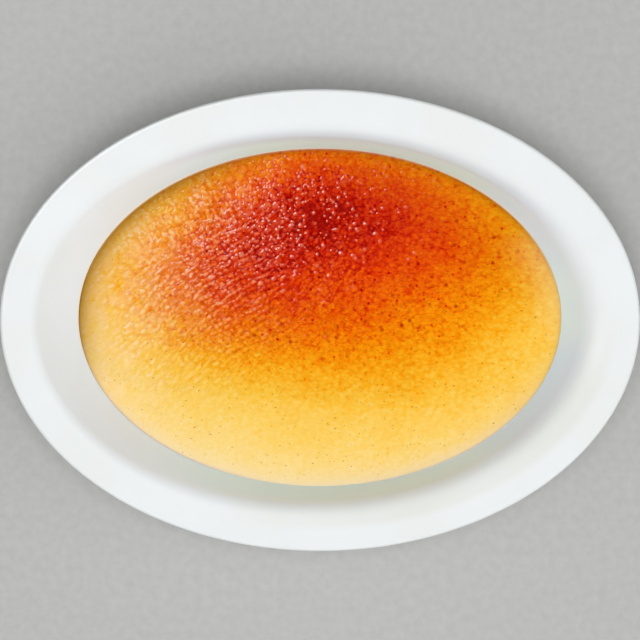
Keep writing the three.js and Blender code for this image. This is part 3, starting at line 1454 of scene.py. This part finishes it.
@dataclass(frozen=True)
class SkinPatch:
    """Which part of the custard's grid the caramel skin covers, and how its border sinks in."""

    left: float = -0.97
    right: float = 0.42
    near: float = -0.5
    far: float = 0.985
    border: float = 0.06
    depth: float = 0.2 * MM
    columns: int = 390
    rows: int = 246

    def cover_at(self, u: Array, v: Array) -> Array:
        """How far inside the patch each place of a grid is: nought at its border and outside it.

        Args:
            u: The grid's steps along X, from minus one to one.
            v: The grid's steps along Y.

        Returns:
            Shares, rows by columns, that reach one a border's width inside the patch.
        """
        along = np.minimum(u - self.left, self.right - u)
        across = np.minimum(v - self.near, self.far - v)
        return np.clip(np.minimum(along[None, :], across[:, None]) / self.border, 0.0, 1.0)

    def body_sunk_at(self, u: Array, v: Array) -> Array:
        """How far the custard's own grid sinks under the skin, from halfway in its border."""
        return self.depth * eased(2.0 * self.cover_at(u, v) - 1.0)

    def skin_sunk_at(self, u: Array, v: Array) -> Array:
        """How far the skin sinks under the custard's own grid, in the outer half of its border."""
        return self.depth * (1.0 - eased(2.0 * self.cover_at(u, v)))


@dataclass(frozen=True)
class Custard:
    """The custard: a closed body that fills the dish, with the crust as its top."""

    dish: Dish
    skin: SkinPatch = SkinPatch()
    into_wall: float = 0.06 * MM
    columns: int = 364
    rows: int = 244
    ring_step: int = 5

    @property
    def level(self) -> float:
        """Height of the custard at its edge."""
        return self.dish.fill_height

    @property
    def half_length(self) -> float:
        """Half-length of the custard at its level, just into the wall."""
        return self.dish.fill_half_length + self.into_wall

    @property
    def half_width(self) -> float:
        """Half-width of the custard at its level."""
        return float(self.dish.plan.half_width_of(np.asarray(self.half_length)))

    def crust(self) -> Crust:
        """The crust that fits the custard's oval."""
        return Crust(self.half_length, self.half_width)

    def places(self, u: Array, v: Array) -> tuple[Array, Array]:
        """Places of a grid of u and v from minus one to one, drawn out to fill the oval.

        X is u times the root of one less half of v squared, times the half-length, and Y is v
        times the root of one less half of u squared, times the half-width.

        Args:
            u: The grid's steps along X.
            v: The grid's steps along Y.

        Returns:
            Their X and Y, rows by columns.
        """
        u, v = np.meshgrid(u, v)
        x = self.half_length * u * np.sqrt(1.0 - v**2 / 2.0)
        y = self.half_width * v * np.sqrt(1.0 - u**2 / 2.0)
        return x, y

    def body_rings(self) -> Array:
        """Half-lengths and heights of the rings below the top, down the wall and over the floor.

        Returns:
            One row of two numbers for each ring.
        """
        corners = [
            Corner(self.half_length, self.level),
            Corner(
                self.dish.inner_wall_at(self.dish.floor_height) + self.into_wall,
                self.dish.floor_height - self.into_wall,
                self.dish.floor_radius,
            ),
            Corner(0.0, self.dish.floor_height - self.into_wall),
        ]
        return profile_through(corners)[1 : -1 : self.ring_step]

    def build(self) -> bpy.types.Object:
        """Makes the closed body: the crust's grid, and rings of the same points down to the floor.

        Returns:
            The dressed custard.
        """
        crust = self.crust()
        u, v = np.linspace(-1.0, 1.0, self.columns + 1), np.linspace(-1.0, 1.0, self.rows + 1)
        x, y = self.places(u, v)
        up = self.level + crust.relief_at(x, y) - self.skin.body_sunk_at(u, v)
        top = np.stack([x, y, up], axis=2).reshape(-1, 3)
        quads, edge = grid_faces(x.shape)
        turn = np.arctan2(top[edge, 1] / self.half_width, top[edge, 0] / self.half_length)
        points, sides, upper = [top], [], edge
        for half_length, height in self.body_rings():
            lower = x.size + (len(points) - 1) * len(edge) + np.arange(len(edge))
            width = float(self.dish.plan.half_width_of(np.asarray(half_length)))
            ring = [half_length * np.cos(turn), width * np.sin(turn), np.full(len(edge), height)]
            points.append(np.stack(ring, axis=1))
            sides.append(strip_faces(lower, upper))
            upper = lower
        points.append(np.array([[0.0, 0.0, self.dish.floor_height - self.into_wall]]))
        points = np.concatenate(points)
        bottom = fan_faces(len(points) - 1, upper[::-1])
        finish = TorchedCustard().material()
        piece = make_piece("custard_body", points, [np.concatenate([quads, *sides]), bottom], finish)
        crust.dress(piece, points[:, 0], points[:, 1])
        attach(piece, BODY)
        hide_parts("custard")
        return piece


@dataclass(frozen=True)
class CaramelSkin:
    """The pebbled skin of caramel over the torched part of the custard, finer than its body."""

    bottom: float = 1.5 * MM

    def build(self, custard: Custard) -> bpy.types.Object:
        """Makes the skin: the crust's relief on a fine grid, closed by a fan well inside the custard.

        The skin sinks under the custard's own surface at the patch's border.

        Args:
            custard: The custard that carries it.

        Returns:
            The dressed skin.
        """
        crust, patch = custard.crust(), custard.skin
        u = np.linspace(patch.left, patch.right, patch.columns + 1)
        v = np.linspace(patch.near, patch.far, patch.rows + 1)
        x, y = custard.places(u, v)
        up = custard.level + crust.relief_at(x, y) - patch.skin_sunk_at(u, v)
        middle = [[float(x.mean()), float(y.mean()), custard.level - self.bottom]]
        points = np.concatenate([np.stack([x, y, up], axis=2).reshape(-1, 3), middle])
        quads, border = grid_faces(x.shape)
        faces = [quads, fan_faces(len(points) - 1, border[::-1])]
        piece = make_piece("caramel_skin", points, faces, TorchedCustard("caramel_skin").material())
        crust.dress(piece, points[:, 0], points[:, 1])
        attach(piece, BODY)
        return piece


# ---------------------------------------------------------------- sugar beads and vanilla seeds

# Each thing draws this many numbers, and this many seeds lie between two scatters
LOTS = 7
SEED_STEP = 101


@dataclass(frozen=True)
class Scatter:
    """Where small things of one kind lie: an even, jittered grid, thinned towards an oval's edge."""

    reach: TorchPass
    spacing: float
    least_radius: float
    most_radius: float
    most_stretch: float
    turn: float
    turn_spread: float
    seed: int
    steepness: float = 0.16
    grid_reach: float = 1.1
    jitter_along: float = 0.8
    jitter_across: float = 0.7
    rarity: float = 1.5
    least_rise: float = 0.55
    rise_range: float = 0.9

    def lie(self, half_length: float, half_width: float, margin: float) -> Array:
        """Works out where each thing lies, how large it is and which way it points.

        The grid's rows run along the turn. A thing is kept where its own random number is below
        the reach's heat. Large things are rarer than small ones, since the random number behind
        the radius is raised to a power.

        Args:
            half_length: The custard's half-length.
            half_width: Its half-width.
            margin: How far inside the custard's edge the things stay.

        Returns:
            One row for each thing: X, Y, half-width, stretch, turn and height.
        """
        turn = math.radians(self.turn)
        most = math.ceil(self.grid_reach * half_length / self.spacing)
        steps = np.arange(-most, most)
        column, row = (each.ravel() for each in np.meshgrid(steps, steps))
        lots = [hashed(column, row, self.seed * SEED_STEP + lot) for lot in range(LOTS)]
        along = (column + 0.5 + self.jitter_along * (lots[0] - 0.5)) * self.spacing
        across = (row + 0.5 + self.jitter_across * (lots[1] - 0.5)) * self.spacing
        x = along * math.cos(turn) - across * math.sin(turn)
        y = along * math.sin(turn) + across * math.cos(turn)
        inside = np.hypot(x / (half_length - margin), y / (half_width - margin)) < 1.0
        kept = inside & (lots[2] < self.reach.heat_at(x, y))
        radius = self.least_radius + (self.most_radius - self.least_radius) * lots[3] ** self.rarity
        stretch = 1.0 + (self.most_stretch - 1.0) * lots[4]
        pointing = turn + math.radians(self.turn_spread) * (2.0 * lots[5] - 1.0)
        height = self.steepness * radius * (self.least_rise + self.rise_range * lots[6])
        return np.stack([x, y, radius, stretch, pointing, height], axis=1)[kept]


@dataclass(frozen=True)
class Speckle:
    """Small round things on the crust, all of one template, joined in one mesh.

    The template is a stack of rings round an axis. Each ring has a share of the thing's radius and
    a share of its height; the first and last places of the stack are its closed ends.
    """

    name: str
    shares: tuple[tuple[float, float], ...]
    segments: int = 8
    sunk: float = 0.0
    darkest: float = 1.0
    # How milky the things are towards their tops, partly a painted highlight
    milk_and_sheen: float = 0.0
    top_highlight_rise: float = 1.5
    pitted: float = 1.0

    def build(self, things: Array, custard: Custard, finish: TorchedCustard) -> bpy.types.Object:
        """Sets a copy of the template on every place, following the crust underneath.

        A point is the thing's place, plus its ring's share of the stretched radius turned to the
        thing's direction. Its height is the crust's there, plus the ring's share of the height,
        less how far the things are sunk.

        Args:
            things: One row for each thing, as a scatter gives them.
            custard: The custard that carries them.
            finish: Their finish.

        Returns:
            The dressed piece.
        """
        shares = np.array(self.shares)
        turn = np.linspace(0.0, 2.0 * math.pi, self.segments, endpoint=False)
        rings = len(shares) - 2
        out = np.concatenate([[0.0], np.repeat(shares[1:-1, 0], self.segments), [0.0]])
        bearing = np.concatenate([[0.0], np.tile(turn, rings), [0.0]])
        lift = np.concatenate([[shares[0, 1]], np.repeat(shares[1:-1, 1], self.segments), [shares[-1, 1]]])
        x, y, radius, stretch, pointing, height = (column[:, None] for column in things.T)
        along, across = radius * stretch * out * np.cos(bearing), radius * out * np.sin(bearing)
        right = x + along * np.cos(pointing) - across * np.sin(pointing)
        back = y + along * np.sin(pointing) + across * np.cos(pointing)
        crust = custard.crust()
        up = custard.level + crust.relief_at(right, back) + height * lift - self.sunk
        points = np.stack([right, back, up], axis=2).reshape(-1, 3)
        numbers = 1 + np.arange(rings * self.segments).reshape(rings, self.segments)
        fans = np.concatenate([fan_faces(0, numbers[0]), fan_faces(len(out) - 1, numbers[-1][::-1])])
        strips = [strip_faces(lower, upper) for upper, lower in zip(numbers, numbers[1:])]
        first = (np.arange(len(things)) * len(out))[:, None, None]
        faces = [(first + fans).reshape(-1, 3), (first + np.concatenate(strips)).reshape(-1, 4)]
        piece = make_piece(self.name, points, faces, finish.material())
        # Things are milkier towards their tops, which on the beads is a painted highlight
        milk_and_sheen = self.milk_and_sheen * np.tile(np.clip(lift, 0.0, 1.0) ** self.top_highlight_rise, len(things))
        crust.dress(piece, points[:, 0], points[:, 1], self.darkest, milk_and_sheen, self.pitted)
        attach(piece, BODY)
        return piece


@dataclass(frozen=True)
class SugarBeads:
    """Beads and short ridges of melted sugar: in slanting rows at the left, scattered in the middle."""

    zones: tuple[Scatter, ...] = (
        Scatter(TorchPass(-36, 9, 20, 16, 20, 1.1), 1.6 * MM, 0.36 * MM, 0.62 * MM, 2.2, 31.0, 12.0, 1),
        Scatter(TorchPass(-26, 28, 22, 12, 15, 1.1), 1.6 * MM, 0.36 * MM, 0.66 * MM, 1.4, 60.0, 60.0, 2),
        Scatter(TorchPass(-2, 25, 22, 14, 15, 0.7), 2.1 * MM, 0.38 * MM, 0.8 * MM, 1.5, 45.0, 25.0, 3),
        Scatter(TorchPass(-2, 38, 26, 7, 0, 0.65), 1.9 * MM, 0.34 * MM, 0.62 * MM, 1.5, 105.0, 25.0, 4),
        Scatter(TorchPass(-50, -5, 16, 20, 20, 0.9), 1.7 * MM, 0.27 * MM, 0.46 * MM, 2.6, 42.0, 22.0, 5),
        Scatter(TorchPass(-14, -1, 14, 9, 20, 0.6), 1.7 * MM, 0.26 * MM, 0.42 * MM, 2.2, 38.0, 20.0, 6),
        Scatter(TorchPass(-6, 28, 24, 11, 10, 0.6), 3.8 * MM, 0.65 * MM, 0.95 * MM, 1.4, 48.0, 40.0, 7),
    )
    margin: float = 1.2 * MM
    bead: Speckle = Speckle(
        "sugar_beads",
        ((0.0, 1.0), (0.34, 0.78), (0.64, 0.35), (0.88, 0.05), (1.0, -0.1), (0.0, -0.9)),
        sunk=0.015 * MM,
        darkest=0.8,
        milk_and_sheen=0.2,
        pitted=0.3,
    )
    sugar: TorchedCustard = TorchedCustard("melted_sugar", coat=1.45, coat_roughness=0.15)

    def build(self, custard: Custard) -> bpy.types.Object:
        """Makes the dressed beads, each as high as its steepness times its half-width."""
        beads = [zone.lie(custard.half_length, custard.half_width, self.margin) for zone in self.zones]
        return self.bead.build(np.concatenate(beads), custard, self.sugar)


@dataclass(frozen=True)
class VanillaSeeds:
    """Vanilla seeds that lie just in the skin all over the custard."""

    zone: Scatter = Scatter(
        TorchPass(8, -8, 70, 60, 0, 0.6), 2.7 * MM, 0.1 * MM, 0.2 * MM, 1.8, 0.0, 40.0, 9, steepness=0.25
    )
    margin: float = 1.0 * MM
    seed: Speckle = Speckle(
        "vanilla_seeds",
        ((0.0, 1.0), (0.7, 0.7), (1.0, 0.0), (0.7, -0.7), (0.0, -1.0)),
        segments=6,
    )
    skin: TorchedCustard = TorchedCustard("vanilla_seed", tint=linear(222, 192, 146))

    def build(self, custard: Custard) -> bpy.types.Object:
        """Makes the dressed seeds, half sunk in the skin, whose colour shows through them."""
        seeds = self.zone.lie(custard.half_length, custard.half_width, self.margin)
        return self.seed.build(seeds, custard, self.skin)


# ---------------------------------------------------------------- the studio


@dataclass(frozen=True)
class Sky:
    """A soft white dome of light: a band high up all round, dimmer to the near and far sides."""

    band: float = 0.75
    sides: float = 0.25
    overhead: float = 0.03
    overhead_ends: float = math.cos(math.radians(19.0))
    band_starts: float = math.cos(math.radians(29.0))
    band_ends: float = math.cos(math.radians(50.0))
    sides_start: float = math.cos(math.radians(58.0))
    far: Fade = Fade(0.1, 0.6, 1.0, 0.15)
    near: Fade = Fade(-0.6, -0.1, 0.7, 1.0)

    def light(self) -> None:
        """Makes the world's light from how high each direction is, and how far it points across."""
        shader = Shader.of_world("studio_sky")
        direction = shader.node("ShaderNodeSeparateXYZ")
        shader.link(shader.node("ShaderNodeTexCoord").outputs["Generated"], direction.inputs[0])
        stops = (
            (self.sides_start, (self.sides,) * 3),
            (self.band_ends, (self.band,) * 3),
            (self.band_starts, (self.band,) * 3),
            (self.overhead_ends, (self.overhead,) * 3),
        )
        shader.link(shader.ramp(direction.outputs[2], stops), shader.surface.inputs["Color"])
        far = shader.between(direction.outputs[1], self.far)
        near = shader.between(direction.outputs[1], self.near)
        shader.feed(shader.surface.inputs["Strength"], shader.product(far, near))
        bpy.context.scene.world.cycles_visibility.glossy = False


class LampReach(Enum):
    """What a lamp adds: only reflections, or only the plain light on a surface."""

    GLOSS = "gloss"
    BODY = "body"


@dataclass(frozen=True)
class Softbox:
    """A round soft lamp that faces the dish, by its bearing, its tilt from overhead and its glow."""

    name: str
    bearing: float
    tilt: float
    distance: float
    diameter: float
    glow: float
    reach: LampReach

    def hang(self) -> None:
        """Hangs the lamp; its power is its glow times pi times the area of its disc."""
        lamp = bpy.data.lights.new(self.name, "AREA")
        lamp.shape = "DISK"
        lamp.size = self.diameter
        lamp.energy = self.glow * math.pi * math.pi * self.diameter**2 / 4.0
        bearing, tilt = math.radians(self.bearing), math.radians(self.tilt)
        level = math.sin(tilt)
        way = Vector((level * math.cos(bearing), level * math.sin(bearing), math.cos(tilt)))
        hung = bpy.data.objects.new(self.name, lamp)
        hung.location = way * self.distance
        hung.rotation_euler = (-way).to_track_quat("-Z", "Y").to_euler()
        hung.visible_diffuse = self.reach is LampReach.BODY
        hung.visible_glossy = self.reach is LampReach.GLOSS
        bpy.context.scene.collection.objects.link(hung)


@dataclass(frozen=True)
class Studio:
    """A plain pale floor, soft light, and a camera that looks almost straight down."""

    floor_half: float = 1.5
    floor: FloorFinish = FloorFinish()
    sky: Sky = Sky()
    softboxes: tuple[Softbox, ...] = (
        Softbox("key_lamp", 140.0, 32.0, 0.9, 0.66, 5.8, LampReach.GLOSS),
        Softbox("overhead_lamp", 0.0, 0.0, 1.0, 0.5, 9.4, LampReach.BODY),
        Softbox("fill_lamp", -14.0, 50.0, 1.1, 1.0, 0.9, LampReach.BODY),
        Softbox("near_lamp", 240.0, 60.0, 1.1, 0.6, 1.2, LampReach.BODY),
    )
    frame_width: float = 179.9 * MM
    sensor: float = 36.0
    distance: float = 0.75
    clip_end: float = 10.0
    lean: float = math.radians(5.6)
    aim: tuple[float, float, float] = (0.0, 0.55 * MM, 31.3 * MM)

    def lay_floor(self) -> None:
        """Lays the floor under the foot ring."""
        half = self.floor_half
        points = np.array([[-half, -half, 0.0], [half, -half, 0.0], [half, half, 0.0], [-half, half, 0.0]])
        make_piece("floor", points, [np.array([[0, 1, 2, 3]])], self.floor.material())

    def set_camera(self) -> None:
        """Sets the camera above the dish, leaning a little towards its far side.

        The lens makes the frame as wide as stated at the rim's height.
        """
        camera = bpy.data.cameras.new("camera")
        camera.sensor_width = self.sensor
        camera.lens = self.sensor * self.distance / self.frame_width
        camera.clip_end = self.clip_end
        stand = bpy.data.objects.new("camera", camera)
        turn = Matrix.Rotation(-self.lean, 4, "X")
        aim = Matrix.Translation(self.aim)
        stand.matrix_world = aim @ turn @ Matrix.Translation((0.0, 0.0, self.distance))
        bpy.context.scene.collection.objects.link(stand)
        bpy.context.scene.camera = stand

    def build(self) -> None:
        """Sets up the floor, the light, the camera and plain screen colours."""
        bpy.context.scene.view_settings.view_transform = "Standard"
        self.lay_floor()
        self.sky.light()
        for softbox in self.softboxes:
            softbox.hang()
        self.set_camera()


def main() -> None:
    """Builds every piece in order and reports it."""
    logging.basicConfig(level=logging.INFO, format="%(name)s: %(message)s")
    dish = Dish()
    custard = Custard(dish)
    pieces = [dish.build(), custard.build(), CaramelSkin().build(custard)]
    pieces += [SugarBeads().build(custard), VanillaSeeds().build(custard)]
    for piece in pieces:
        triangles = len(piece.data.loops) - 2 * len(piece.data.polygons)
        LOG.info("%s: %d triangles", piece.name, triangles)
    Studio().build()
    LOG.info("studio ready")


if __name__ == "__main__":
    main()
